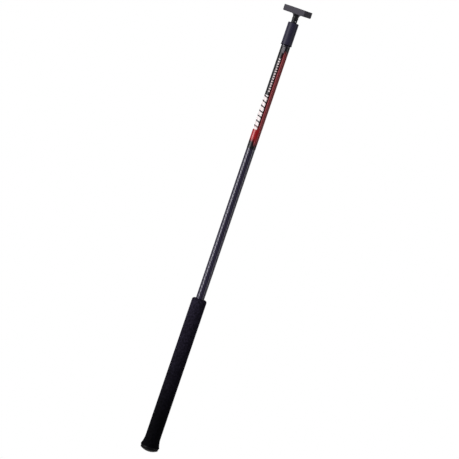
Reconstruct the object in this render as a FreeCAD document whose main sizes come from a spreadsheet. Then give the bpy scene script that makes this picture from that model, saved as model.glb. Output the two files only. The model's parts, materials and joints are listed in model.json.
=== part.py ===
import FreeCAD, Part
import math
import os
import Sketcher
from FreeCAD import Placement, Rotation, Vector

# Tiller extension of a small sailing boat, in millimetres. The base bar is bolted under or on the
# tiller by its flat face, and the pole hangs from it by a flexible neck. The origin is the centre
# of that face, +Z leaves the face, X runs along the bar and the pole hangs down along -Z.

document = FreeCAD.newDocument("TillerExtension")
sheet = document.addObject("Spreadsheet::Sheet", "Sizes")

SIZES = {
    # Base bar: a solid block moulding, rounder below than round its mounting face
    "bar_length": 60,
    "bar_width": 22.5,
    "bar_thickness": 12,
    "bar_corner_radius": 2.6,
    "bar_under_radius": 2,
    "bar_face_radius": 0.6,
    # Bolts that hold the bar: two countersunk M5 screws put in from the pole's side
    "bolt_spacing": 42,
    "bolt_hole_diameter": 5.3,
    "bolt_sink_diameter": 10.4,
    "bolt_sink_angle": 90,
    # Flexible neck: button head, throat through the bar, bending shank, lip and tail
    "neck_head_diameter": 17,
    "neck_head_height": 3.8,
    "neck_head_sink": 0.3,
    "neck_throat_diameter": 11.6,
    "neck_waist_diameter": 12.2,
    "neck_flare_radius": 4.2,
    "neck_free_length": 10.6,
    "neck_lip_diameter": 12.5,
    "neck_lip_height": 2.2,
    "neck_lip_round": 0.5,
    "neck_tail_diameter": 7,
    "neck_tail_length": 26,
    "neck_fit": 0.1,
    # End plug: nose round the neck's tail, flange on the tube's end, spigot in the tube's bore
    "nose_wall": 2.15,
    "nose_height": 6.8,
    "nose_chamfer": 0.5,
    "flange_thickness": 2.5,
    "spigot_length": 36,
    "spigot_chamfer": 0.8,
    "glue_gap": 0.08,
    "glue_groove_width": 1.6,
    "glue_groove_depth": 0.5,
    "glue_groove_pitch": 8,
    # Cross pin through the nose and the tail, turned round the pole from the bar's length
    "pin_diameter": 3,
    "pin_fit": 0.03,
    "pin_drop": 3.4,
    "pin_turn": -16,
    "pin_recess": 0.9,
    "pin_dome": 0.35,
    # Collar over the tube's upper end
    "collar_wall": 1.6,
    "collar_length": 46,
    "collar_roof": 2.5,
    "collar_shoulder_radius": 1.4,
    "collar_lip_proud": 0.25,
    "collar_lip_round": 0.8,
    "collar_lip_height": 2.6,
    "collar_mouth_chamfer": 0.3,
    # Tube, tapered evenly from the head to the butt
    "tube_head_diameter": 17.8,
    "tube_butt_diameter": 16,
    "tube_wall": 1.3,
    "tube_length": 855.9,
    # Printed film round the tube below the collar
    "film_thickness": 0.18,
    "film_fit": 0.02,
    "film_gap": 1.2,
    "film_length": 208,
    # Foam grip at the butt
    "grip_length": 301,
    "grip_top_diameter": 29.6,
    "grip_low_diameter": 30,
    "grip_top_round": 5,
    "grip_flare_length": 19,
    "grip_rim_diameter": 37.6,
    "grip_rim_round": 1.6,
    # Domed end cap and its plug in the tube's bore
    "cap_inset": 0.3,
    "cap_side_height": 4.2,
    "cap_side_round": 3,
    "cap_dome_height": 5.5,
    "cap_plug_length": 24,
    "cap_plug_slack": 0.6,
    "cap_plug_fit": 0.05,
    "cap_ring_height": 1.6,
    "cap_ring_pitch": 6,
}

for row, (alias, size) in enumerate(SIZES.items(), start=1):
    sheet.set(f"A{row}", alias)
    sheet.set(f"B{row}", str(size))
    sheet.setAlias(f"B{row}", alias)
document.recompute()


def half(alias):
    """Expression for half of a size, such as a diameter's radius."""
    return f"Sizes.{alias} / 2"


def value(expression):
    """Number that an expression of the sheet's sizes comes to."""
    return float(sheet.evalExpression(expression))


# Levels along the pole, down from the bar's mounting face
BAR_UNDERSIDE = "(-Sizes.bar_thickness)"
NOSE_TOP = f"({BAR_UNDERSIDE} - Sizes.neck_free_length)"
COLLAR_TOP = f"({NOSE_TOP} - Sizes.nose_height)"
TUBE_TOP = f"({COLLAR_TOP} - Sizes.collar_roof - Sizes.flange_thickness)"
TUBE_END = f"({TUBE_TOP} - Sizes.tube_length)"

# Radii that several pieces share
TAIL_BORE_RADIUS = "(Sizes.neck_tail_diameter / 2 + Sizes.neck_fit)"
NOSE_RADIUS = f"({TAIL_BORE_RADIUS} + Sizes.nose_wall)"
COLLAR_BORE_RADIUS = "(Sizes.tube_head_diameter / 2 + Sizes.glue_gap)"

# How often the small features repeat
GLUE_GROOVE_COUNT = 3
CAP_RING_COUNT = 3


def tube_radius(depth):
    """Expression for the tube's outer radius at a depth below its upper end."""
    taper = "(Sizes.tube_head_diameter - Sizes.tube_butt_diameter) / Sizes.tube_length"
    return f"((Sizes.tube_head_diameter - ({depth}) * {taper}) / 2)"


def make_body(label, level=None, turn=None):
    """Body with its own name, set at a level along the pole and turned round it."""
    body = document.addObject("PartDesign::Body", label)
    body.Label = label
    angle = value(turn) if turn else 0
    body.Placement = Placement(Vector(0, 0, 0), Rotation(Vector(0, 0, 1), angle))
    if level:
        body.setExpression("Placement.Base.z", level)
    if turn:
        body.setExpression("Placement.Rotation.Angle", turn)
    return body


def origin_feature(body, role):
    """Plane or axis of a body's own origin, found by its role."""
    return [feature for feature in body.Origin.OriginFeatures if feature.Role == role][0]


def add_sketch(body, name, plane):
    """Empty sketch on one of the body's own planes."""
    sketch = body.newObject("Sketcher::SketchObject", name)
    sketch.AttachmentSupport = [(origin_feature(body, plane), "")]
    sketch.MapMode = "FlatFace"
    return sketch


def pin_to_size(sketch, kind, geometry, end, expression, axis):
    """Fix one coordinate of a point to an expression, or put the point on an axis for zero."""
    if expression == "0":
        sketch.addConstraint(Sketcher.Constraint("PointOnObject", geometry, end, axis))
        return
    index = sketch.addConstraint(
        Sketcher.Constraint(kind, geometry, end, value(expression))
    )
    sketch.setExpression(f"Constraints[{index}]", expression)


def arc_between(start, end, radius, side):
    """Arc from start to end: side is 1 where its centre lies left of the way, -1 right of it."""
    chord = end - start
    rise = math.sqrt(max(radius**2 - (chord.Length / 2) ** 2, 0))
    left = Vector(-chord.y, chord.x, 0).normalize()
    centre = (start + end) / 2 + left * rise * side
    first, last = (start, end) if side > 0 else (end, start)
    begin = math.atan2(first.y - centre.y, first.x - centre.x)
    finish = math.atan2(last.y - centre.y, last.x - centre.x)
    if finish < begin:
        finish += 2 * math.pi
    circle = Part.Circle(centre, Vector(0, 0, 1), radius)
    return Part.ArcOfCircle(circle, begin, finish)


def draw_outline(sketch, corners):
    """Closed outline through corners bound to sizes.

    A corner is (across, up), or (across, up, radius, side) where an arc leads to it.
    """
    points = [Vector(value(c[0]), value(c[1]), 0) for c in corners]
    ends = []
    for number, corner in enumerate(corners):
        start, end = points[number - 1], points[number]
        if len(corner) == 2:
            geometry = sketch.addGeometry(Part.LineSegment(start, end))
            ends.append((geometry, 1, 2))
            continue
        radius, side = corner[2:]
        geometry = sketch.addGeometry(arc_between(start, end, value(radius), side))
        ends.append((geometry, 1, 2) if side > 0 else (geometry, 2, 1))
        index = sketch.addConstraint(
            Sketcher.Constraint("Radius", geometry, value(radius))
        )
        sketch.setExpression(f"Constraints[{index}]", radius)
    for number, corner in enumerate(corners):
        geometry, _, end = ends[number]
        following, start, _ = ends[(number + 1) % len(ends)]
        sketch.addConstraint(
            Sketcher.Constraint("Coincident", geometry, end, following, start)
        )
        pin_to_size(sketch, "DistanceX", geometry, end, corner[0], -2)
        pin_to_size(sketch, "DistanceY", geometry, end, corner[1], -1)


def turn_solid(body, name, corners):
    """Solid of revolution round the pole's axis from its half section."""
    sketch = add_sketch(body, f"{name}_section", "XZ_Plane")
    draw_outline(sketch, corners)
    feature = body.newObject("PartDesign::Revolution", name)
    feature.Profile = sketch
    feature.ReferenceAxis = (sketch, ["V_Axis"])
    sketch.Visibility = False
    document.recompute()
    return feature


def turn_cut(body, name, corners):
    """Cut of revolution round the pole's axis from its half section."""
    before = body.Shape.Volume
    sketch = add_sketch(body, f"{name}_section", "XZ_Plane")
    draw_outline(sketch, corners)
    feature = body.newObject("PartDesign::Groove", name)
    feature.Profile = sketch
    feature.ReferenceAxis = (sketch, ["V_Axis"])
    sketch.Visibility = False
    document.recompute()
    if not feature.Shape.Volume < before:
        raise RuntimeError(f"{name} cuts nothing")
    return feature


def repeat_upward(body, name, feature, step, count):
    """Copies of a feature along the pole, a step apart."""
    pattern = body.newObject("PartDesign::LinearPattern", name)
    pattern.Originals = [feature]
    pattern.Direction = (origin_feature(body, "Z_Axis"), [""])
    pattern.Occurrences = count
    pattern.Mode = "Spacing"
    pattern.setExpression("Offset", step)
    body.Tip = pattern
    document.recompute()
    return pattern


def edges_where(shape, wanted):
    """Names of the edges for which a test holds."""
    return [f"Edge{i}" for i, edge in enumerate(shape.Edges, start=1) if wanted(edge)]


def round_edges(body, name, base, edges, radius):
    """Fillet on named edges of a feature."""
    fillet = body.newObject("PartDesign::Fillet", name)
    fillet.Base = (base, edges)
    fillet.setExpression("Radius", radius)
    document.recompute()
    return fillet


def make_base_bar():
    """Bar moulding: rounded block, stepped neck socket and two countersunk bolt holes."""
    body = make_body("base_bar")
    plan = add_sketch(body, "bar_plan", "XY_Plane")
    right = half("bar_length")
    back = half("bar_width")
    draw_outline(
        plan,
        [
            (f"-{right}", f"-{back}"),
            (right, f"-{back}"),
            (right, back),
            (f"-{right}", back),
        ],
    )
    block = body.newObject("PartDesign::Pad", "bar_block")
    block.Profile = plan
    block.Reversed = True
    block.setExpression("Length", "Sizes.bar_thickness")
    plan.Visibility = False
    document.recompute()
    upright = edges_where(
        block.Shape, lambda edge: abs(edge.tangentAt(edge.FirstParameter).z) > 0.9
    )
    corners = round_edges(body, "bar_corners", block, upright, "Sizes.bar_corner_radius")
    underside = value(BAR_UNDERSIDE)
    below = edges_where(corners.Shape, lambda edge: edge.BoundBox.ZMax < underside + 0.01)
    rounded = round_edges(body, "bar_under_rim", corners, below, "Sizes.bar_under_radius")
    above = edges_where(rounded.Shape, lambda edge: edge.BoundBox.ZMin > -0.01)
    round_edges(body, "bar_face_rim", rounded, above, "Sizes.bar_face_radius")

    head = f"{half('neck_head_diameter')} + Sizes.neck_fit"
    throat = f"{half('neck_throat_diameter')} + Sizes.neck_fit"
    step = "-(Sizes.neck_head_sink + Sizes.neck_head_height + Sizes.neck_fit)"
    turn_cut(
        body,
        "neck_socket",
        [
            ("0", "0"),
            ("0", BAR_UNDERSIDE),
            (throat, BAR_UNDERSIDE),
            (throat, step),
            (head, step),
            (head, "0"),
        ],
    )

    under = add_sketch(body, "bolt_places", "XY_Plane")
    under.setExpression("AttachmentOffset.Base.z", BAR_UNDERSIDE)
    for side in (-1, 1):
        spot = Vector(side * value(half("bolt_spacing")), 0, 0)
        radius = value(half("bolt_hole_diameter"))
        circle = under.addGeometry(Part.Circle(spot, Vector(0, 0, 1), radius))
        across = half("bolt_spacing") if side > 0 else f"-{half('bolt_spacing')}"
        pin_to_size(under, "DistanceX", circle, 3, across, -2)
        pin_to_size(under, "DistanceY", circle, 3, "0", -1)
        index = under.addConstraint(Sketcher.Constraint("Radius", circle, radius))
        under.setExpression(f"Constraints[{index}]", half("bolt_hole_diameter"))
    document.recompute()
    before = body.Shape.Volume
    holes = body.newObject("PartDesign::Hole", "bolt_holes")
    holes.Profile = under
    holes.DepthType = "ThroughAll"
    holes.HoleCutType = "Countersink"
    holes.Reversed = True
    holes.setExpression("Diameter", "Sizes.bolt_hole_diameter")
    holes.setExpression("HoleCutDiameter", "Sizes.bolt_sink_diameter")
    holes.setExpression("HoleCutCountersinkAngle", "Sizes.bolt_sink_angle")
    under.Visibility = False
    document.recompute()
    if not holes.Shape.Volume < before:
        raise RuntimeError("the bolt holes cut nothing")
    return body


def make_flexible_neck():
    """Elastomer neck in one moulding, cross bored for the pin."""
    body = make_body("flexible_neck", turn="Sizes.pin_turn")
    head = half("neck_head_diameter")
    throat = half("neck_throat_diameter")
    waist = half("neck_waist_diameter")
    lip = half("neck_lip_diameter")
    tail = half("neck_tail_diameter")
    head_top = "-Sizes.neck_head_sink"
    head_low = f"{head_top} - Sizes.neck_head_height"
    lip_low = NOSE_TOP
    turn_solid(
        body,
        "neck",
        [
            ("0", head_top),
            ("0", f"{lip_low} - Sizes.neck_tail_length"),
            (tail, f"{lip_low} - Sizes.neck_tail_length"),
            (tail, lip_low),
            (f"{lip} - Sizes.neck_lip_round", lip_low),
            (lip, f"{lip_low} + Sizes.neck_lip_round", "Sizes.neck_lip_round", 1),
            (lip, f"{lip_low} + Sizes.neck_lip_height / 2"),
            (waist, f"{lip_low} + Sizes.neck_lip_height"),
            (waist, f"{BAR_UNDERSIDE} - Sizes.neck_flare_radius"),
            (f"{waist} + Sizes.neck_flare_radius", BAR_UNDERSIDE, "Sizes.neck_flare_radius", -1),
            (throat, BAR_UNDERSIDE),
            (throat, head_low),
            (head, head_low),
            (head, head_top),
        ],
    )
    reach = tail
    bore = f"{half('pin_diameter')} + Sizes.neck_fit"
    level = f"{COLLAR_TOP} + Sizes.pin_drop"
    cross_bore(body, "tail_pin_hole", [(f"-({reach})", bore), (reach, bore)], level)
    return body


def cross_bore(body, name, stations, level):
    """Cut round a line that crosses the pole, through stations of (place on it, radius)."""
    before = body.Shape.Volume
    sketch = add_sketch(body, f"{name}_section", "XZ_Plane")
    sketch.setExpression("AttachmentOffset.Base.y", level)
    first, last = stations[0][0], stations[-1][0]
    draw_outline(sketch, [(last, "0"), (first, "0"), *stations])
    feature = body.newObject("PartDesign::Groove", name)
    feature.Profile = sketch
    feature.ReferenceAxis = (sketch, ["H_Axis"])
    sketch.Visibility = False
    document.recompute()
    if not feature.Shape.Volume < before:
        raise RuntimeError(f"{name} cuts nothing")
    return feature


def make_end_plug():
    """Plug in the tube's end: nose, flange and spigot, bored for the neck's tail and the pin."""
    body = make_body("end_plug", level=COLLAR_TOP, turn="Sizes.pin_turn")
    flange_top = "-Sizes.collar_roof"
    flange_low = f"({flange_top} - Sizes.flange_thickness)"
    flange = half("tube_head_diameter")
    spigot = f"({tube_radius('Sizes.spigot_length')} - Sizes.tube_wall - Sizes.glue_gap)"
    spigot_low = f"({flange_low} - Sizes.spigot_length)"
    bore_end = "(Sizes.nose_height - Sizes.neck_tail_length - Sizes.neck_fit)"
    turn_solid(
        body,
        "plug",
        [
            ("0", bore_end),
            ("0", spigot_low),
            (f"{spigot} - Sizes.spigot_chamfer", spigot_low),
            (spigot, f"{spigot_low} + Sizes.spigot_chamfer"),
            (spigot, flange_low),
            (flange, flange_low),
            (flange, flange_top),
            (NOSE_RADIUS, flange_top),
            (NOSE_RADIUS, "Sizes.nose_height - Sizes.nose_chamfer"),
            (f"{NOSE_RADIUS} - Sizes.nose_chamfer", "Sizes.nose_height"),
            (TAIL_BORE_RADIUS, "Sizes.nose_height"),
            (TAIL_BORE_RADIUS, bore_end),
        ],
    )
    groove_low = f"({spigot_low} + Sizes.glue_groove_pitch)"
    groove_top = f"({groove_low} + Sizes.glue_groove_width)"
    groove = turn_cut(
        body,
        "glue_groove",
        [
            (spigot, groove_low),
            (spigot, groove_top),
            (f"{spigot} - Sizes.glue_groove_depth", groove_top),
            (f"{spigot} - Sizes.glue_groove_depth", groove_low),
        ],
    )
    repeat_upward(body, "glue_grooves", groove, "Sizes.glue_groove_pitch", GLUE_GROOVE_COUNT)
    hole = f"({half('pin_diameter')} + Sizes.pin_fit)"
    face = NOSE_RADIUS
    seat = f"({face} - Sizes.pin_recess)"
    mouth = f"({hole} + Sizes.pin_recess)"
    cross_bore(
        body,
        "pin_hole",
        [(f"-{face}", mouth), (f"-{seat}", hole), (seat, hole), (face, mouth)],
        "Sizes.pin_drop",
    )
    return body


def make_cross_pin():
    """Steel pin with domed ends, lying across the pole inside the nose."""
    body = make_body("cross_pin", level=f"{COLLAR_TOP} + Sizes.pin_drop", turn="Sizes.pin_turn")
    radius = half("pin_diameter")
    reach = f"({NOSE_RADIUS} - Sizes.pin_recess / 2)"
    shoulder = f"({reach} - Sizes.pin_dome)"
    bulge = f"(({radius})^2 + Sizes.pin_dome^2) / (2 * Sizes.pin_dome)"
    sketch = add_sketch(body, "pin_section", "XZ_Plane")
    draw_outline(
        sketch,
        [
            (reach, "0"),
            (shoulder, radius, bulge, 1),
            (f"-{shoulder}", radius),
            (f"-{reach}", "0", bulge, 1),
        ],
    )
    pin = body.newObject("PartDesign::Revolution", "pin")
    pin.Profile = sketch
    pin.ReferenceAxis = (sketch, ["H_Axis"])
    sketch.Visibility = False
    document.recompute()
    return body


def make_collar():
    """Sleeve with a roof over the flange, a rounded shoulder and a lip at its mouth."""
    body = make_body("collar", level=COLLAR_TOP)
    bore = COLLAR_BORE_RADIUS
    outer = f"({bore} + Sizes.collar_wall)"
    lip = f"({outer} + Sizes.collar_lip_proud)"
    eye = f"({NOSE_RADIUS} + Sizes.glue_gap)"
    low = "-Sizes.collar_length"
    shoulder = "Sizes.collar_shoulder_radius"
    ease = "Sizes.collar_lip_round"
    turn_solid(
        body,
        "sleeve",
        [
            (eye, "0"),
            (eye, "-Sizes.collar_roof"),
            (bore, "-Sizes.collar_roof"),
            (bore, f"{low} + Sizes.collar_mouth_chamfer"),
            (f"{bore} + Sizes.collar_mouth_chamfer", low),
            (f"{lip} - {ease}", low),
            (lip, f"{low} + {ease}", ease, 1),
            (lip, f"{low} + Sizes.collar_lip_height - Sizes.collar_lip_proud"),
            (outer, f"{low} + Sizes.collar_lip_height"),
            (outer, f"-{shoulder}"),
            (f"{outer} - {shoulder}", "0", shoulder, 1),
        ],
    )
    return body


def make_tube():
    """Tapered tube with an even wall."""
    body = make_body("tube", level=TUBE_TOP)
    low = "-Sizes.tube_length"
    turn_solid(
        body,
        "pole",
        [
            (half("tube_head_diameter"), "0"),
            (f"{half('tube_head_diameter')} - Sizes.tube_wall", "0"),
            (f"{half('tube_butt_diameter')} - Sizes.tube_wall", low),
            (half("tube_butt_diameter"), low),
        ],
    )
    return body


def make_graphic_sleeve():
    """Thin film round the tube, following its taper."""
    body = make_body("graphic_sleeve", level=TUBE_TOP)
    top = (
        "(Sizes.collar_length - Sizes.collar_roof - Sizes.flange_thickness + Sizes.film_gap)"
    )
    low = f"({top} + Sizes.film_length)"
    inner_top = f"({tube_radius(top)} + Sizes.film_fit)"
    inner_low = f"({tube_radius(low)} + Sizes.film_fit)"
    turn_solid(
        body,
        "film",
        [
            (inner_top, f"-{top}"),
            (inner_low, f"-{low}"),
            (f"{inner_low} + Sizes.film_thickness", f"-{low}"),
            (f"{inner_top} + Sizes.film_thickness", f"-{top}"),
        ],
    )
    return body


def make_foam_grip():
    """Foam sleeve on the butt: rounded top, long body and flared rim."""
    body = make_body("foam_grip", level=TUBE_END)
    bore_top = f"({tube_radius('Sizes.tube_length - Sizes.grip_length')} + Sizes.glue_gap)"
    bore_low = f"({half('tube_butt_diameter')} + Sizes.glue_gap)"
    top_radius = half("grip_top_diameter")
    low_radius = half("grip_low_diameter")
    rim = half("grip_rim_diameter")
    edge = "Sizes.grip_top_round"
    ease = "Sizes.grip_rim_round"
    step = f"({rim} - {low_radius})"
    sweep = f"({step}^2 + Sizes.grip_flare_length^2) / (2 * {step})"
    turn_solid(
        body,
        "foam",
        [
            (bore_top, "Sizes.grip_length"),
            (bore_low, "0"),
            (f"{rim} - {ease}", "0"),
            (rim, ease, ease, 1),
            (low_radius, f"{ease} + Sizes.grip_flare_length", sweep, -1),
            (top_radius, f"Sizes.grip_length - {edge}"),
            (f"{top_radius} - {edge}", "Sizes.grip_length", edge, 1),
        ],
    )
    return body


def make_end_cap():
    """Domed cap under the grip, with a ringed plug in the tube's bore."""
    body = make_body("end_cap", level=TUBE_END)
    side = f"({half('grip_rim_diameter')} - Sizes.grip_rim_round + Sizes.cap_inset)"
    low = "(-Sizes.cap_side_height)"
    sphere = f"({side}^2 + Sizes.cap_dome_height^2) / (2 * Sizes.cap_dome_height)"
    bore = f"({half('tube_butt_diameter')} - Sizes.tube_wall)"
    core = f"({bore} - Sizes.cap_plug_slack)"
    cap = turn_solid(
        body,
        "cap",
        [
            ("0", "Sizes.cap_plug_length"),
            ("0", f"{low} - Sizes.cap_dome_height"),
            (side, low, sphere, 1),
            (side, "0"),
            (core, "0"),
            (core, "Sizes.cap_plug_length"),
        ],
    )
    brink = value(low)
    shoulder = edges_where(
        cap.Shape,
        lambda edge: abs(edge.BoundBox.ZMax - brink) < 0.01 and edge.BoundBox.ZLength < 0.01,
    )
    round_edges(body, "cap_shoulder", cap, shoulder, "Sizes.cap_side_round")
    ring_low = "Sizes.cap_ring_pitch"
    ring_top = f"{ring_low} + Sizes.cap_ring_height"
    ring = turn_solid(
        body,
        "plug_ring",
        [
            (core, ring_low),
            (f"{bore} - Sizes.cap_plug_fit", ring_low),
            (core, ring_top),
        ],
    )
    repeat_upward(body, "plug_rings", ring, "Sizes.cap_ring_pitch", CAP_RING_COUNT)
    return body


pieces = [
    make_base_bar(),
    make_flexible_neck(),
    make_end_plug(),
    make_cross_pin(),
    make_collar(),
    make_tube(),
    make_graphic_sleeve(),
    make_foam_grip(),
    make_end_cap(),
]
document.recompute()

for item in document.Objects:
    if "Invalid" in item.State or "Error" in item.State:
        raise RuntimeError(f"{item.Label} failed: {item.State}")
for piece in pieces:
    if piece.Shape.isNull() or not piece.Shape.isValid() or not piece.Shape.Solids:
        raise RuntimeError(f"{piece.Label} has no valid solid")

os.makedirs("parts", exist_ok=True)
for piece in pieces:
    piece.Shape.exportStep(os.path.join("parts", f"{piece.Label}.step"))
    box = piece.Shape.BoundBox
    print(
        f"{piece.Label}: {len(piece.Shape.Solids)} solid, {piece.Shape.Volume:.1f} mm3,"
        f" z {box.ZMin:.2f} to {box.ZMax:.2f}, x {box.XMin:.2f} to {box.XMax:.2f}"
    )
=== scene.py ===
import json
import math

import bmesh
import bpy
from mathutils import Matrix, Vector, noise


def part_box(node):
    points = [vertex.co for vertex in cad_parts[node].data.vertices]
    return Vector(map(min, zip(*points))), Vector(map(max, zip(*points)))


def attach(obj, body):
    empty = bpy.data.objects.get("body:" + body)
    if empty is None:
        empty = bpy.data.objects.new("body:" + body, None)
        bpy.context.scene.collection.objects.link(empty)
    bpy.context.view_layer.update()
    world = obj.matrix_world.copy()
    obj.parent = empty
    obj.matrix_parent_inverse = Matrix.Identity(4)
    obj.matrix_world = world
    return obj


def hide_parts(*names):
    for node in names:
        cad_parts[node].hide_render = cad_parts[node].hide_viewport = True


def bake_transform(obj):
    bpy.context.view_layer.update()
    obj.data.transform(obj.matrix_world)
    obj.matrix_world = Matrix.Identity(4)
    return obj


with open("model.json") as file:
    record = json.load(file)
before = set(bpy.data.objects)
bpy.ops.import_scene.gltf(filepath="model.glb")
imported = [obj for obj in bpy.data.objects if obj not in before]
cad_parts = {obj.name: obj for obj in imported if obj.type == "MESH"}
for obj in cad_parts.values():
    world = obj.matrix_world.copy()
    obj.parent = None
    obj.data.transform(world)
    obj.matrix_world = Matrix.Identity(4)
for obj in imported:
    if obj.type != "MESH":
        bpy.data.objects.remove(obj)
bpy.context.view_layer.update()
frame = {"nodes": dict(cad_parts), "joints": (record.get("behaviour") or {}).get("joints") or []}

# The base bar is a block of glass filled nylon, injection moulded, that two countersunk bolts hold
# flat against the tiller. It leaves its mould satin and charcoal grey, faintly clouded where the
# glass fibres lie near the skin.

mm = 0.001


def linear(code):
    """Linear colour of an sRGB hex value."""
    channels = [int(code[at : at + 2], 16) / 255 for at in (1, 3, 5)]
    lit = [c / 12.92 if c <= 0.04045 else ((c + 0.055) / 1.055) ** 2.4 for c in channels]
    return (*lit, 1)


def add_node(tree, kind, inputs, **settings):
    """Node with its settings, whose inputs each take a value or another node's output."""
    node = tree.nodes.new(kind)
    for name, setting in settings.items():
        setattr(node, name, setting)
    for name, given in inputs.items():
        if isinstance(given, bpy.types.NodeSocket):
            tree.links.new(given, node.inputs[name])
        else:
            node.inputs[name].default_value = given
    return node


def new_material(name):
    """Empty node material, its tree, and the object's own coordinates in metres."""
    material = bpy.data.materials.new(name)
    material.use_nodes = True
    tree = material.node_tree
    tree.nodes.clear()
    place = add_node(tree, "ShaderNodeTexCoord", {}).outputs["Object"]
    return material, tree, place


def moulded_nylon(name, skin, fibre, roughness, specular, flow, painted_shade_top=None):
    """Glass filled nylon from the mould: satin, with paler fibre streaks drawn out along the flow.
    Where a level is given, it is painted near black below that as painted shade, and made dull there."""
    streak_width = 0.9 * mm
    streaks_shown = (0.42, 0.74)
    grain_size = 0.45 * mm
    grain_depth = 0.012 * mm
    grain_strength = 0.5
    uneven_polish = 0.08
    painted_shade_edge = 0.6 * mm
    material, tree, place = new_material(name)
    drawn = add_node(tree, "ShaderNodeMapping", {"Vector": place, "Scale": flow})
    streaks = add_node(
        tree,
        "ShaderNodeTexNoise",
        {"Vector": drawn.outputs[0], "Scale": 1 / streak_width, "Detail": 4, "Roughness": 0.6},
    )
    shown = add_node(
        tree,
        "ShaderNodeMapRange",
        {
            "Value": streaks.outputs["Fac"],
            "From Min": streaks_shown[0],
            "From Max": streaks_shown[1],
        },
    )
    colour = add_node(
        tree,
        "ShaderNodeMix",
        {0: shown.outputs[0], 6: linear(skin), 7: linear(fibre)},
        data_type="RGBA",
    )
    grain = add_node(
        tree, "ShaderNodeTexNoise", {"Vector": place, "Scale": 1 / grain_size, "Detail": 2}
    )
    polish = add_node(
        tree,
        "ShaderNodeMapRange",
        {
            "Value": streaks.outputs["Fac"],
            "To Min": roughness - uneven_polish,
            "To Max": roughness + uneven_polish,
        },
    )
    relief = add_node(
        tree,
        "ShaderNodeBump",
        {"Height": grain.outputs["Fac"], "Strength": grain_strength, "Distance": grain_depth},
    )
    finish = {
        "Base Color": colour.outputs[2],
        "Roughness": polish.outputs[0],
        "Specular IOR Level": specular,
        "Normal": relief.outputs[0],
    }
    # Below the given level the colour is painted near black, as painted shade, and the roughness
    # raised.
    if painted_shade_top is not None:
        height = add_node(tree, "ShaderNodeSeparateXYZ", {"Vector": place}).outputs["Z"]
        in_painted_shade = add_node(
            tree,
            "ShaderNodeMapRange",
            {"Value": height, "From Min": painted_shade_top, "From Max": painted_shade_top - painted_shade_edge},
        ).outputs[0]
        darkened = add_node(
            tree,
            "ShaderNodeMix",
            {0: in_painted_shade, 6: colour.outputs[2], 7: linear("#040305")},
            data_type="RGBA",
        )
        dulled = add_node(
            tree, "ShaderNodeMath", {0: polish.outputs[0], 1: in_painted_shade}, operation="MAXIMUM"
        )
        finish["Base Color"] = darkened.outputs[2]
        finish["Roughness"] = dulled.outputs[0]
    shader = add_node(tree, "ShaderNodeBsdfPrincipled", finish)
    add_node(tree, "ShaderNodeOutputMaterial", {"Surface": shader.outputs[0]})
    return material


def dress(node, material):
    """Give a CAD node its finish."""
    part = frame["nodes"][node]
    part.data.materials.clear()
    part.data.materials.append(material)


BAR_FLOW = (0.35, 1, 1)
dress("base_bar", moulded_nylon("charcoal_nylon", "#3F3C43", "#4D4A54", 0.48, 0.05, BAR_FLOW))

# The flexible neck is one elastomer moulding, black and nearly matt. Its button head lies trapped in
# the bar's socket, its waisted shank bends in the open above the plug's nose, and its tail goes down
# into the nose. The shank is made as an upper and a lower piece.

BAR_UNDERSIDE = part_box("base_bar")[0].z
NOSE_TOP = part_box("end_plug")[1].z
NECK_LOW, NECK_HIGH = (corner.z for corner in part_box("flexible_neck"))
HEAD_RADIUS = 8.5 * mm
HEAD_HEIGHT = 3.8 * mm
HEAD_ROUND = 0.4 * mm
THROAT_RADIUS = 5.8 * mm
ROOT_RADIUS = 10.3 * mm
WAIST_RADIUS = 5.8 * mm
HEEL_RADIUS = 6.1 * mm
LIP_RADIUS = 6.25 * mm
LIP_HEIGHT = 2.2 * mm
LIP_ROUND = 0.5 * mm
TAIL_RADIUS = 3.5 * mm
RING_SPACING = 0.5 * mm
NECK_SEGMENTS = 96
ROUND_STEPS = 4
ROOT_STEPS = 14
SHANK_STEPS = 5
SHARP_ANGLE = math.radians(38)
BEND_LEVELS = [joint["pos_m"][2] for joint in frame["joints"]]
BEND_CLEARANCE = 0.15 * mm
BEND_SPLIT = 2 * BEND_LEVELS[0] - BAR_UNDERSIDE - BEND_CLEARANCE


def arc(centre, radius, first, last, steps, height=None):
    """Points of an arc in a half section, from one angle to another in degrees. A height makes the
    arc's upright radius other than its level one."""
    tall = height or radius
    turns = [math.radians(first + (last - first) * step / steps) for step in range(steps + 1)]
    return [(centre[0] + radius * math.cos(t), centre[1] + tall * math.sin(t)) for t in turns]


def swept(slim, wide, steps):
    """Points of an arc that sets off straight down from a slim point and widens to a lower one."""
    step, run = wide[0] - slim[0], slim[1] - wide[1]
    radius = (step**2 + run**2) / (2 * step)
    turn = math.degrees(math.asin(run / radius))
    return arc((slim[0] + radius, slim[1]), radius, 180, 180 + turn, steps)


def spaced(section, step):
    """The same half section with points put into its long straight runs."""
    points = [section[0]]
    for start, end in zip(section, section[1:]):
        parts = max(1, math.ceil(math.dist(start, end) / step))
        for part in range(1, parts + 1):
            share = part / parts
            points.append(tuple(a + (b - a) * share for a, b in zip(start, end)))
    return points


def turned(name, section, segments):
    """Solid turned round the pole's axis from its half section, as (radius, level) points."""
    shape = bmesh.new()
    rings = []
    for radius, level in section:
        angles = [math.tau * step / segments for step in range(segments)] if radius else [0]
        rings.append(
            [shape.verts.new((radius * math.cos(a), radius * math.sin(a), level)) for a in angles]
        )
    hollow = section[0][0] > 0
    below = rings[1:] + rings[:1] if hollow else rings[1:]
    for upper, lower in zip(rings, below):
        for step in range(segments):
            following = (step + 1) % segments
            corners = [
                upper[step % len(upper)],
                upper[following % len(upper)],
                lower[following % len(lower)],
                lower[step % len(lower)],
            ]
            shape.faces.new(dict.fromkeys(corners))
    bmesh.ops.recalc_face_normals(shape, faces=shape.faces)
    mesh = bpy.data.meshes.new(name)
    shape.to_mesh(mesh)
    shape.free()
    mesh.shade_smooth()
    mesh.set_sharp_from_angle(angle=SHARP_ANGLE)
    piece = bpy.data.objects.new(name, mesh)
    bpy.context.scene.collection.objects.link(piece)
    return piece


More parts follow.
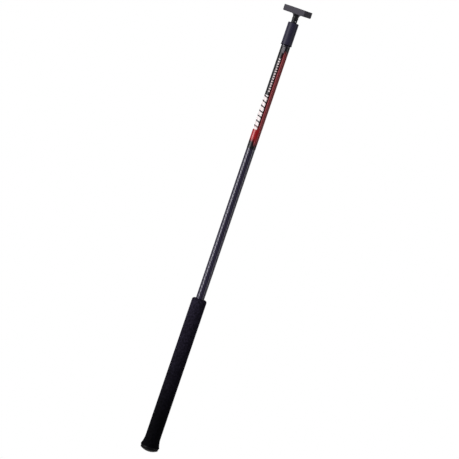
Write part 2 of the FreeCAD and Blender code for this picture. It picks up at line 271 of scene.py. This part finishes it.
def moulded_elastomer(name, skin, bloom, roughness, specular):
    """Black elastomer from the mould: nearly matt, with a faint grey bloom and a fine tooth."""
    bloom_size = 5 * mm
    tooth_size = 0.6 * mm
    tooth_depth = 0.02 * mm
    tooth_strength = 0.6
    uneven_polish = 0.1
    material, tree, place = new_material(name)
    cloud = add_node(
        tree, "ShaderNodeTexNoise", {"Vector": place, "Scale": 1 / bloom_size, "Detail": 5}
    )
    colour = add_node(
        tree,
        "ShaderNodeMix",
        {0: cloud.outputs["Fac"], 6: linear(skin), 7: linear(bloom)},
        data_type="RGBA",
    )
    tooth = add_node(
        tree, "ShaderNodeTexNoise", {"Vector": place, "Scale": 1 / tooth_size, "Detail": 3}
    )
    rough = add_node(
        tree,
        "ShaderNodeMapRange",
        {
            "Value": cloud.outputs["Fac"],
            "To Min": roughness - uneven_polish,
            "To Max": roughness + uneven_polish,
        },
    )
    relief = add_node(
        tree,
        "ShaderNodeBump",
        {"Height": tooth.outputs["Fac"], "Strength": tooth_strength, "Distance": tooth_depth},
    )
    shader = add_node(
        tree,
        "ShaderNodeBsdfPrincipled",
        {
            "Base Color": colour.outputs[2],
            "Roughness": rough.outputs[0],
            "Specular IOR Level": specular,
            "Normal": relief.outputs[0],
        },
    )
    add_node(tree, "ShaderNodeOutputMaterial", {"Surface": shader.outputs[0]})
    return material


head_low = NECK_HIGH - HEAD_HEIGHT
root_reach = ROOT_RADIUS - WAIST_RADIUS
root_height = BAR_UNDERSIDE - BEND_SPLIT
upper_section = [
    (0, NECK_HIGH),
    *arc((HEAD_RADIUS - HEAD_ROUND, NECK_HIGH - HEAD_ROUND), HEAD_ROUND, 90, 0, ROUND_STEPS),
    (HEAD_RADIUS, head_low),
    (THROAT_RADIUS, head_low),
    (THROAT_RADIUS, BAR_UNDERSIDE),
    *arc((ROOT_RADIUS, BEND_SPLIT), root_reach, 90, 180, ROOT_STEPS, root_height),
    (0, BEND_SPLIT),
]
lower_section = [
    (0, BEND_SPLIT),
    *swept((WAIST_RADIUS, BEND_SPLIT), (HEEL_RADIUS, NOSE_TOP + LIP_HEIGHT), SHANK_STEPS),
    (LIP_RADIUS, NOSE_TOP + LIP_HEIGHT / 2),
    *arc((LIP_RADIUS - LIP_ROUND, NOSE_TOP + LIP_ROUND), LIP_ROUND, 0, -90, ROUND_STEPS),
    (TAIL_RADIUS, NOSE_TOP),
    (TAIL_RADIUS, NECK_LOW),
    (0, NECK_LOW),
]
neck_upper = turned("neck_upper", spaced(upper_section, RING_SPACING), NECK_SEGMENTS)
neck_lower = turned("neck_lower", spaced(lower_section, RING_SPACING), NECK_SEGMENTS)

# A hole through the tail lets the steel pin pass
PIN_HOLE_RADIUS = 1.6 * mm
DRILL_SEGMENTS = 48
pin_low, pin_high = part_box("cross_pin")
pin_centre = (pin_low + pin_high) / 2
pin_turn = -math.atan2(pin_high.y - pin_low.y, pin_high.x - pin_low.x)
drill_section = [
    (0, -LIP_RADIUS),
    (PIN_HOLE_RADIUS, -LIP_RADIUS),
    (PIN_HOLE_RADIUS, LIP_RADIUS),
    (0, LIP_RADIUS),
]
drill = turned("drill", drill_section, DRILL_SEGMENTS)
drill.matrix_world = (
    Matrix.Translation(pin_centre)
    @ Matrix.Rotation(pin_turn, 4, "Z")
    @ Matrix.Rotation(math.radians(90), 4, "Y")
)
bore = neck_lower.modifiers.new("pin_hole", "BOOLEAN")
bore.operation = "DIFFERENCE"
bore.object = drill
bored = neck_lower.evaluated_get(bpy.context.evaluated_depsgraph_get())
neck_lower.data = bpy.data.meshes.new_from_object(bored)
neck_lower.modifiers.clear()
bpy.data.objects.remove(drill)

neck_rubber = moulded_elastomer("neck_elastomer", "#0B0A0D", "#151418", 0.34, 0.1)
for piece, (first, second), (start, end) in (
    (neck_upper, ("base", "neck"), (BAR_UNDERSIDE, BEND_SPLIT)),
    (neck_lower, ("neck", "pole"), (BEND_SPLIT, NOSE_TOP)),
):
    piece.data.materials.append(neck_rubber)
    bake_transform(piece)
    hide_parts("flexible_neck")

# The end plug is turned up in black glass filled nylon. Its nose, bored for the neck's tail, stands
# out of the collar, and its grooved spigot is glued into the tube.

PLUG_FLOW = (1, 1, 0.2)
dress("end_plug", moulded_nylon("black_nylon", "#121115", "#222127", 0.42, 0.06, PLUG_FLOW))

# The cross pin is stainless steel with domed ends, driven through the nose and the neck's tail. Only
# its two bright ends show, each in its countersink.


def drawn_steel(name):
    """Drawn stainless steel bar, its colour painted darker than steel's as a painted dark reflection,
    with fine lines along it and a soft gleam.
    """
    line_width = 0.15 * mm
    line_stretch = 20
    polish = (0.3, 0.46)
    material, tree, place = new_material(name)
    turned_back = add_node(
        tree,
        "ShaderNodeMapping",
        {"Vector": place, "Rotation": (0, 0, -pin_turn), "Scale": (1 / line_stretch, 1, 1)},
    )
    lines = add_node(
        tree,
        "ShaderNodeTexNoise",
        {"Vector": turned_back.outputs[0], "Scale": 1 / line_width, "Detail": 2},
    )
    # Both greys are darker than steel: a painted dark reflection.
    colour = add_node(
        tree,
        "ShaderNodeMix",
        {0: lines.outputs["Fac"], 6: linear("#535457"), 7: linear("#6E6F73")},
        data_type="RGBA",
    )
    rough = add_node(
        tree,
        "ShaderNodeMapRange",
        {"Value": lines.outputs["Fac"], "To Min": polish[0], "To Max": polish[1]},
    )
    shader = add_node(
        tree,
        "ShaderNodeBsdfPrincipled",
        {"Base Color": colour.outputs[2], "Metallic": 1, "Roughness": rough.outputs[0]},
    )
    add_node(tree, "ShaderNodeOutputMaterial", {"Surface": shader.outputs[0]})
    return material


dress("cross_pin", drawn_steel("stainless_steel"))

# The collar is a black nylon sleeve, moulded with a rounded shoulder and a small lip, pushed and glued
# over the tube's upper end. Its lip is painted near black, as painted shade at the collar's mouth.

COLLAR_FLOW = (1, 1, 0.3)
# The collar's lowest 2.2 mm is painted near black, as painted shade at its mouth.
LIP_SHADE_HEIGHT = 2.2 * mm
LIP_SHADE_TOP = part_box("collar")[0].z + LIP_SHADE_HEIGHT
collar_nylon = moulded_nylon(
    "collar_nylon", "#272434", "#343146", 0.42, 0.05, COLLAR_FLOW, LIP_SHADE_TOP
)
dress("collar", collar_nylon)

# The tube is carbon fibre cloth in a two by two twill, rolled round a tapered mandrel, baked and
# finished in clear lacquer. The tows along it and round it shine in turn, so that the dark tube shows
# faint slanting lines: the tows along it are smoother, and their colour is painted paler as painted
# sheen.

TOWS_ROUND = 28
TOW_PITCH = 2 * mm
TWILL_REPEAT = 4


def twill_check(tree, place, tows, pitch):
    """1 where a tow along the tube lies on top, and 0 where a tow round it does."""
    axes = add_node(tree, "ShaderNodeSeparateXYZ", {"Vector": place})
    angle = add_node(
        tree, "ShaderNodeMath", {0: axes.outputs["Y"], 1: axes.outputs["X"]}, operation="ARCTAN2"
    )
    around = add_node(
        tree, "ShaderNodeMath", {0: angle.outputs[0], 1: tows / math.tau}, operation="MULTIPLY"
    )
    along = add_node(
        tree, "ShaderNodeMath", {0: axes.outputs["Z"], 1: 1 / pitch}, operation="MULTIPLY"
    )
    columns, rows = [
        add_node(tree, "ShaderNodeMath", {0: way.outputs[0]}, operation="FLOOR").outputs[0]
        for way in (around, along)
    ]
    total = add_node(tree, "ShaderNodeMath", {0: columns, 1: rows}, operation="ADD")
    in_four = add_node(
        tree, "ShaderNodeMath", {0: total.outputs[0], 1: TWILL_REPEAT}, operation="FLOORED_MODULO"
    )
    half_way = (TWILL_REPEAT - 1) / 2
    on_top = add_node(
        tree, "ShaderNodeMath", {0: in_four.outputs[0], 1: half_way}, operation="GREATER_THAN"
    )
    return on_top.outputs[0]


def twill_carbon(name):
    """Carbon cloth under clear lacquer: near black, with the tows along the tube painted paler as
    painted sheen.
    """
    fibre_width = 0.35 * mm
    fibre_stretch = 20
    dull_tow = 0.8
    bright_tow = 0.28
    material, tree, place = new_material(name)
    on_top = twill_check(tree, place, TOWS_ROUND, TOW_PITCH)
    fibres = add_node(
        tree,
        "ShaderNodeMapping",
        {"Vector": place, "Scale": (1, 1, 1 / fibre_stretch)},
    )
    lines = add_node(
        tree,
        "ShaderNodeTexNoise",
        {"Vector": fibres.outputs[0], "Scale": 1 / fibre_width, "Detail": 3},
    )
    # The tows along the tube get a paler violet colour: painted sheen.
    tow = add_node(
        tree,
        "ShaderNodeMix",
        {0: on_top, 6: linear("#050409"), 7: linear("#312A48")},
        data_type="RGBA",
    )
    colour = add_node(
        tree,
        "ShaderNodeMix",
        {0: lines.outputs["Fac"], 6: tow.outputs[2], 7: linear("#181326")},
        data_type="RGBA",
    )
    sheen = add_node(
        tree, "ShaderNodeMapRange", {"Value": on_top, "To Min": dull_tow, "To Max": bright_tow}
    )
    shader = add_node(
        tree,
        "ShaderNodeBsdfPrincipled",
        {
            "Base Color": colour.outputs[2],
            "Roughness": sheen.outputs[0],
            "Specular IOR Level": 0.08,
            "Specular Tint": linear("#F1E9FF"),
            "Coat Weight": 0.145,
            "Coat Roughness": 0.24,
        },
    )
    add_node(tree, "ShaderNodeOutputMaterial", {"Surface": shader.outputs[0]})
    return material


dress("tube", twill_carbon("lacquered_carbon"))

# The printed film is a thin clear polyester sheet, printed from behind and wrapped round the tube with
# its seam at the back. On black it has a crimson side, a red foot, a row of slanted white bars and a
# line of pale dashes. Down its front runs a dark line of painted shade with a pale line of painted
# highlight beside it, and a pink line on the foot and a grey patch at its head are painted highlights
# too.

FILM_LOW, FILM_HIGH = (corner.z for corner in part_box("graphic_sleeve"))
PRINT_FACES = math.radians(-45)
# The dark line down the film's front is painted shade.
PAINTED_FRONT_SHADE_SIDE = (math.radians(-8), math.radians(10))
# The pale line beside it is a painted highlight.
PAINTED_SIDE_HIGHLIGHT = (math.radians(10), math.radians(22))
RED_SIDE = (math.radians(22), math.radians(128))
RED_SPAN = (FILM_LOW + 5 * mm, FILM_HIGH - 8.5 * mm)
RED_FADE = 9 * mm
# The grey patch at the film's head is a painted highlight.
PAINTED_HEAD_HIGHLIGHT_SIDE = (math.radians(-22), math.radians(2))
PAINTED_HEAD_HIGHLIGHT_SPAN = (FILM_HIGH - 15 * mm, FILM_HIGH - 0.5 * mm)
PAINTED_HEAD_HIGHLIGHT_FADE = 2 * mm
RED_FOOT_SIDE = (math.radians(-100), math.radians(50))
# The pink line on the foot is a painted highlight.
PAINTED_FOOT_HIGHLIGHT_SIDE = (math.radians(-44), math.radians(-22))
RED_FOOT_SPAN = (FILM_LOW + 13 * mm, FILM_LOW + 46 * mm)
WHITE_BARS_SIDE = (math.radians(-100), math.radians(-8))
WHITE_BARS_SPAN = (FILM_LOW + 38 * mm, FILM_LOW + 108 * mm)
WHITE_BAR_PITCH = 10 * mm
WHITE_BAR_WIDTH = 7.2 * mm
WHITE_BAR_SLANT = 2.4 * mm
DASHES_SIDE = (math.radians(-29), math.radians(-8))
DASHES_SPAN = (FILM_LOW + 114 * mm, FILM_HIGH - 24 * mm)
DASH_PITCH = 5 * mm
DASH_WIDTH = 2.8 * mm
CRISP_EDGE = 0.2 * mm


def printed_patch(tree, places, side, span, fade=CRISP_EDGE):
    """1 on a patch of the print, else 0, from its side and span; it fades out at its two ends."""
    around, level = places
    on_side = add_node(
        tree,
        "ShaderNodeMath",
        {0: around, 1: (side[0] + side[1]) / 2, 2: (side[1] - side[0]) / 2},
        operation="COMPARE",
    )
    from_middle = add_node(
        tree, "ShaderNodeMath", {0: level, 1: (span[0] + span[1]) / 2}, operation="SUBTRACT"
    )
    distance = add_node(
        tree, "ShaderNodeMath", {0: from_middle.outputs[0]}, operation="ABSOLUTE"
    )
    reach = (span[1] - span[0]) / 2
    in_span = add_node(
        tree,
        "ShaderNodeMapRange",
        {"Value": distance.outputs[0], "From Min": reach, "From Max": reach - fade},
    )
    both = add_node(
        tree,
        "ShaderNodeMath",
        {0: on_side.outputs[0], 1: in_span.outputs[0]},
        operation="MULTIPLY",
    )
    return both.outputs[0]


def printed_rows(tree, patch, place, pitch, width):
    """The part of a patch that lies in rows of a width, a pitch apart."""
    step = add_node(tree, "ShaderNodeMath", {0: place, 1: pitch}, operation="FLOORED_MODULO")
    row = add_node(
        tree, "ShaderNodeMath", {0: step.outputs[0], 1: width}, operation="LESS_THAN"
    )
    shown = add_node(
        tree, "ShaderNodeMath", {0: row.outputs[0], 1: patch}, operation="MULTIPLY"
    )
    return shown.outputs[0]


def printed_film(name):
    """Glossy film over print: black ground, crimson side, white slanted bars and pale dashes."""
    mottle_size = 4 * mm
    polish = (0.2, 0.34)
    material, tree, place = new_material(name)
    faced = add_node(
        tree, "ShaderNodeMapping", {"Vector": place, "Rotation": (0, 0, -PRINT_FACES)}
    )
    axes = add_node(tree, "ShaderNodeSeparateXYZ", {"Vector": faced.outputs[0]})
    level = axes.outputs["Z"]
    around = add_node(
        tree, "ShaderNodeMath", {0: axes.outputs["Y"], 1: axes.outputs["X"]}, operation="ARCTAN2"
    ).outputs[0]
    leaning = add_node(
        tree, "ShaderNodeMath", {0: around, 1: WHITE_BAR_SLANT, 2: level}, operation="MULTIPLY_ADD"
    ).outputs[0]
    places = (around, level)
    bars = printed_patch(tree, places, WHITE_BARS_SIDE, WHITE_BARS_SPAN)
    dashes = printed_patch(tree, places, DASHES_SIDE, DASHES_SPAN)
    ink = linear("#17161A")
    for shown, code in (
        # Painted shade: the dark line down the film's front.
        (printed_patch(tree, places, PAINTED_FRONT_SHADE_SIDE, RED_SPAN, RED_FADE), "#2A0509"),
        # Painted highlight: the pale line beside the dark one.
        (printed_patch(tree, places, PAINTED_SIDE_HIGHLIGHT, RED_SPAN, RED_FADE), "#B2575C"),
        (printed_patch(tree, places, RED_SIDE, RED_SPAN, RED_FADE), "#801A21"),
        # Painted highlight: the grey patch at the film's head.
        (printed_patch(tree, places, PAINTED_HEAD_HIGHLIGHT_SIDE, PAINTED_HEAD_HIGHLIGHT_SPAN, PAINTED_HEAD_HIGHLIGHT_FADE), "#716C73"),
        (printed_patch(tree, places, RED_FOOT_SIDE, RED_FOOT_SPAN, RED_FADE), "#961B1F"),
        # Painted highlight: the pink line on the foot.
        (printed_patch(tree, places, PAINTED_FOOT_HIGHLIGHT_SIDE, RED_FOOT_SPAN, RED_FADE), "#C0585C"),
        (printed_rows(tree, bars, leaning, WHITE_BAR_PITCH, WHITE_BAR_WIDTH), "#EFE4E4"),
        (printed_rows(tree, dashes, level, DASH_PITCH, DASH_WIDTH), "#D2C0C0"),
    ):
        layer = add_node(
            tree, "ShaderNodeMix", {0: shown, 6: ink, 7: linear(code)}, data_type="RGBA"
        )
        ink = layer.outputs[2]
    mottle = add_node(
        tree, "ShaderNodeTexNoise", {"Vector": place, "Scale": 1 / mottle_size, "Detail": 3}
    )
    rough = add_node(
        tree,
        "ShaderNodeMapRange",
        {"Value": mottle.outputs["Fac"], "To Min": polish[0], "To Max": polish[1]},
    )
    shader = add_node(
        tree,
        "ShaderNodeBsdfPrincipled",
        {
            "Base Color": ink,
            "Roughness": rough.outputs[0],
            "Specular IOR Level": 0.02,
            "Coat Weight": 0.065,
            "Coat Roughness": 0.24,
        },
    )
    add_node(tree, "ShaderNodeOutputMaterial", {"Surface": shader.outputs[0]})
    return material


dress("graphic_sleeve", printed_film("printed_polyester_film"))

# The grip is a sleeve of black closed cell foam, ground to shape with a rounded top and a flared
# rim, and slid onto the butt of the tube. Its cut cells give it a dull, finely pitted skin.

GRIP_LOW, GRIP_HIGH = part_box("foam_grip")
BORE_RADIUS_HIGH = 8.4 * mm
BORE_RADIUS_LOW = 8.08 * mm
GRIP_RADIUS_HIGH = 14.8 * mm
GRIP_RADIUS_LOW = 15 * mm
TOP_ROUND = 5 * mm
FLARE_LENGTH = 19 * mm
RIM_RADIUS = GRIP_HIGH.x
RIM_ROUND = 1.6 * mm
GRIP_RING_SPACING = 2.5 * mm
GRIP_SEGMENTS = 128
RIM_STEPS = 6
FLARE_STEPS = 12
TOP_STEPS = 10
SWELL = 0.1 * mm
SWELL_SIZE = 22 * mm
SWELL_SUNK = 0.5


def closed_cell_foam(name):
    """Ground closed cell foam: black, dull and mottled, painted paler towards its top and darker down
    the grip as painted light, and painted near black in its cells' pits as painted shade. Its cells,
    about 0.4 mm across in the real foam, are drawn at 1.5 mm so that they show."""
    cell_size = 1.5 * mm
    cell_depth = 0.12 * mm
    cell_strength = 0.7
    pit_reach = (0.1, 0.6)
    skin_in_pits = 0.1
    patch_size = 4 * mm
    patches_shown = (0.3, 0.7)
    painted_light_start = GRIP_LOW.z + 60 * mm
    material, tree, place = new_material(name)
    cells = add_node(
        tree, "ShaderNodeTexVoronoi", {"Vector": place, "Scale": 1 / cell_size}, feature="F1"
    )
    patches = add_node(
        tree, "ShaderNodeTexNoise", {"Vector": place, "Scale": 1 / patch_size, "Detail": 3}
    )
    mottle = add_node(
        tree,
        "ShaderNodeMapRange",
        {
            "Value": patches.outputs["Fac"],
            "From Min": patches_shown[0],
            "From Max": patches_shown[1],
        },
    )
    # The foam is painted paler towards its top and darker down the grip: painted light that falls off
    # downward.
    height = add_node(tree, "ShaderNodeSeparateXYZ", {"Vector": place}).outputs["Z"]
    painted_light_share = add_node(
        tree,
        "ShaderNodeMapRange",
        {"Value": height, "From Min": painted_light_start, "From Max": GRIP_HIGH.z},
    )
    shaded_mottle = add_node(
        tree,
        "ShaderNodeMix",
        {0: mottle.outputs[0], 6: linear("#010102"), 7: linear("#0A090E")},
        data_type="RGBA",
    )
    lit_mottle = add_node(
        tree,
        "ShaderNodeMix",
        {0: mottle.outputs[0], 6: linear("#16131D"), 7: linear("#302B3C")},
        data_type="RGBA",
    )
    mottle_and_painted_light = add_node(
        tree,
        "ShaderNodeMix",
        {0: painted_light_share.outputs[0], 6: shaded_mottle.outputs[2], 7: lit_mottle.outputs[2]},
        data_type="RGBA",
    )
    # The cells' pits are painted near black, as painted shade in the hollows.
    pit_shade_mix = add_node(
        tree,
        "ShaderNodeMapRange",
        {
            "Value": cells.outputs["Distance"],
            "From Min": pit_reach[0],
            "From Max": pit_reach[1],
            "To Min": skin_in_pits,
        },
    )
    colour = add_node(
        tree,
        "ShaderNodeMix",
        {0: pit_shade_mix.outputs[0], 6: linear("#030304"), 7: mottle_and_painted_light.outputs[2]},
        data_type="RGBA",
    )
    relief = add_node(
        tree,
        "ShaderNodeBump",
        {
            "Height": cells.outputs["Distance"],
            "Strength": cell_strength,
            "Distance": cell_depth,
        },
    )
    shader = add_node(
        tree,
        "ShaderNodeBsdfPrincipled",
        {
            "Base Color": colour.outputs[2],
            "Roughness": 0.8,
            "Specular IOR Level": 0.015,
            "Normal": relief.outputs[0],
        },
    )
    add_node(tree, "ShaderNodeOutputMaterial", {"Surface": shader.outputs[0]})
    return material


rim_top = GRIP_LOW.z + RIM_ROUND
top_flat_radius = GRIP_RADIUS_HIGH - TOP_ROUND
flare = swept((GRIP_RADIUS_LOW, rim_top + FLARE_LENGTH), (RIM_RADIUS, rim_top), FLARE_STEPS)
grip_section = [
    (BORE_RADIUS_HIGH, GRIP_HIGH.z),
    (BORE_RADIUS_LOW, GRIP_LOW.z),
    *arc((RIM_RADIUS - RIM_ROUND, rim_top), RIM_ROUND, -90, 0, RIM_STEPS),
    *reversed(flare),
    *arc((top_flat_radius, GRIP_HIGH.z - TOP_ROUND), TOP_ROUND, 0, 90, TOP_STEPS),
    (BORE_RADIUS_HIGH, GRIP_HIGH.z),
]
grip_rings = spaced(grip_section, GRIP_RING_SPACING)[:-1]
foam_sleeve = turned("foam_sleeve", grip_rings, GRIP_SEGMENTS)
for vertex in foam_sleeve.data.vertices:
    outward = Vector((vertex.co.x, vertex.co.y, 0))
    if outward.length > top_flat_radius:
        swell = noise.noise(vertex.co / SWELL_SIZE) - SWELL_SUNK
        vertex.co += outward.normalized() * swell * SWELL
foam_sleeve.data.materials.append(closed_cell_foam("closed_cell_foam"))
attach(foam_sleeve, "pole")
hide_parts("foam_grip")

# The end cap is black rubber, moulded with a dome below the grip's rim and a ringed plug that is
# pushed into the tube's bore.

dress("end_cap", moulded_elastomer("cap_rubber", "#060507", "#0E0D11", 0.4, 0.03))

# The studio has a round white floor well below the hanging pole, which fades into a white surround.
# One soft lamp to the camera's left lights the front, a weak one the back, and two wide ones only
# gleam in the smooth pieces.

FLOOR_LEVEL = -1.8
FLOOR_RADIUS = 1.6
FLOOR_SEGMENTS = 96
SHADOW_RADIUS = 0.4
PLAIN_LIGHT = 0.3
FLOOR_GLOW = 0.6


def seen_white(tree, glow):
    """Share of the white glow that a camera, mirror or glass ray sees, and no other ray."""
    path = add_node(tree, "ShaderNodeLightPath", {})
    sight = path.outputs["Is Camera Ray"]
    for ray in ("Is Glossy Ray", "Is Transmission Ray"):
        sight = add_node(
            tree, "ShaderNodeMath", {0: sight, 1: path.outputs[ray]}, operation="MAXIMUM"
        ).outputs[0]
    return add_node(tree, "ShaderNodeMath", {0: sight, 1: glow}, operation="MULTIPLY").outputs[0]


def white_floor(name):
    """Matt white paint that keeps the shadow near the object and glows plain white further out."""
    material, tree, place = new_material(name)
    away = add_node(tree, "ShaderNodeVectorMath", {0: place}, operation="LENGTH")
    glow = add_node(
        tree,
        "ShaderNodeMapRange",
        {
            "Value": away.outputs["Value"],
            "From Min": SHADOW_RADIUS,
            "From Max": FLOOR_RADIUS,
            "To Min": FLOOR_GLOW,
            "To Max": 1,
        },
    )
    paint = add_node(tree, "ShaderNodeBsdfDiffuse", {"Color": linear("#FFFFFF")})
    light = add_node(tree, "ShaderNodeEmission", {"Strength": 1})
    both = add_node(
        tree,
        "ShaderNodeMixShader",
        {0: seen_white(tree, glow.outputs[0]), 1: paint.outputs[0], 2: light.outputs[0]},
    )
    add_node(tree, "ShaderNodeOutputMaterial", {"Surface": both.outputs[0]})
    return material


floor = turned("studio_floor", [(0, 0), (FLOOR_RADIUS, 0)], FLOOR_SEGMENTS)
floor.data.materials.append(white_floor("white_paint"))
floor.location.z = FLOOR_LEVEL

world = bpy.data.worlds.new("white_surround")
bpy.context.scene.world = world
world.use_nodes = True
world.node_tree.nodes.clear()
level = add_node(
    world.node_tree,
    "ShaderNodeMapRange",
    {"Value": seen_white(world.node_tree, 1), "To Min": PLAIN_LIGHT, "To Max": 1},
)
surround = add_node(
    world.node_tree,
    "ShaderNodeBackground",
    {"Color": linear("#FFFFFF"), "Strength": level.outputs[0]},
)
add_node(world.node_tree, "ShaderNodeOutputWorld", {"Surface": surround.outputs[0]})

LAMP_LEVEL = -0.3


def soft_lamp(name, azimuth, distance, size, power, lights=True, shines=True):
    """Rectangular lamp, width and height given, that faces the pole a third of the way down it."""
    lamp = bpy.data.lights.new(name, "AREA")
    lamp.shape = "RECTANGLE"
    lamp.size, lamp.size_y = size
    lamp.energy = power
    place = bpy.data.objects.new(name, lamp)
    turn = math.radians(azimuth)
    place.location = (distance * math.sin(turn), -distance * math.cos(turn), LAMP_LEVEL)
    aim = Vector((0, 0, LAMP_LEVEL)) - place.location
    place.rotation_euler = aim.to_track_quat("-Z", "Y").to_euler()
    place.visible_camera = False
    place.visible_diffuse = lights
    place.visible_glossy = shines
    bpy.context.scene.collection.objects.link(place)


soft_lamp("key_lamp", azimuth=-6, distance=5, size=(2.6, 1.15), power=190)
soft_lamp("gleam_lamp", azimuth=-17, distance=5.5, size=(3.6, 1.3), power=420, lights=False)
soft_lamp("side_gleam_lamp", azimuth=116, distance=5, size=(2.6, 1.2), power=92, lights=False)
soft_lamp("back_lamp", azimuth=225, distance=4, size=(2, 1.4), power=30, shines=False)

# The camera looks from beside the bar's corner and from about the bar's height, through a long lens
# from so far off that the pole hardly narrows, and it is rolled so that the pole leans to the right.

CAMERA_AZIMUTH = math.radians(45)
CAMERA_DISTANCE = 15
CAMERA_HEIGHT = 0.2
CAMERA_ROLL = math.radians(18.774)
CAMERA_LENS = 612.6
AIM_LEVEL = -0.4449
AIM_ASIDE = 0.01086

camera = bpy.data.objects.new("camera", bpy.data.cameras.new("camera"))
camera.data.lens = CAMERA_LENS
camera.data.clip_end = 100
towards = Vector((math.sin(CAMERA_AZIMUTH), -math.cos(CAMERA_AZIMUTH), 0))
aside = Vector((math.cos(CAMERA_AZIMUTH), math.sin(CAMERA_AZIMUTH), 0))
eye = towards * CAMERA_DISTANCE + Vector((0, 0, CAMERA_HEIGHT))
aim = aside * AIM_ASIDE + Vector((0, 0, AIM_LEVEL))
facing = (aim - eye).to_track_quat("-Z", "Y").to_matrix().to_4x4()
camera.matrix_world = Matrix.Translation(eye) @ facing @ Matrix.Rotation(CAMERA_ROLL, 4, "Z")
bpy.context.scene.collection.objects.link(camera)
bpy.context.scene.camera = camera
bpy.context.scene.view_settings.view_transform = "Standard"
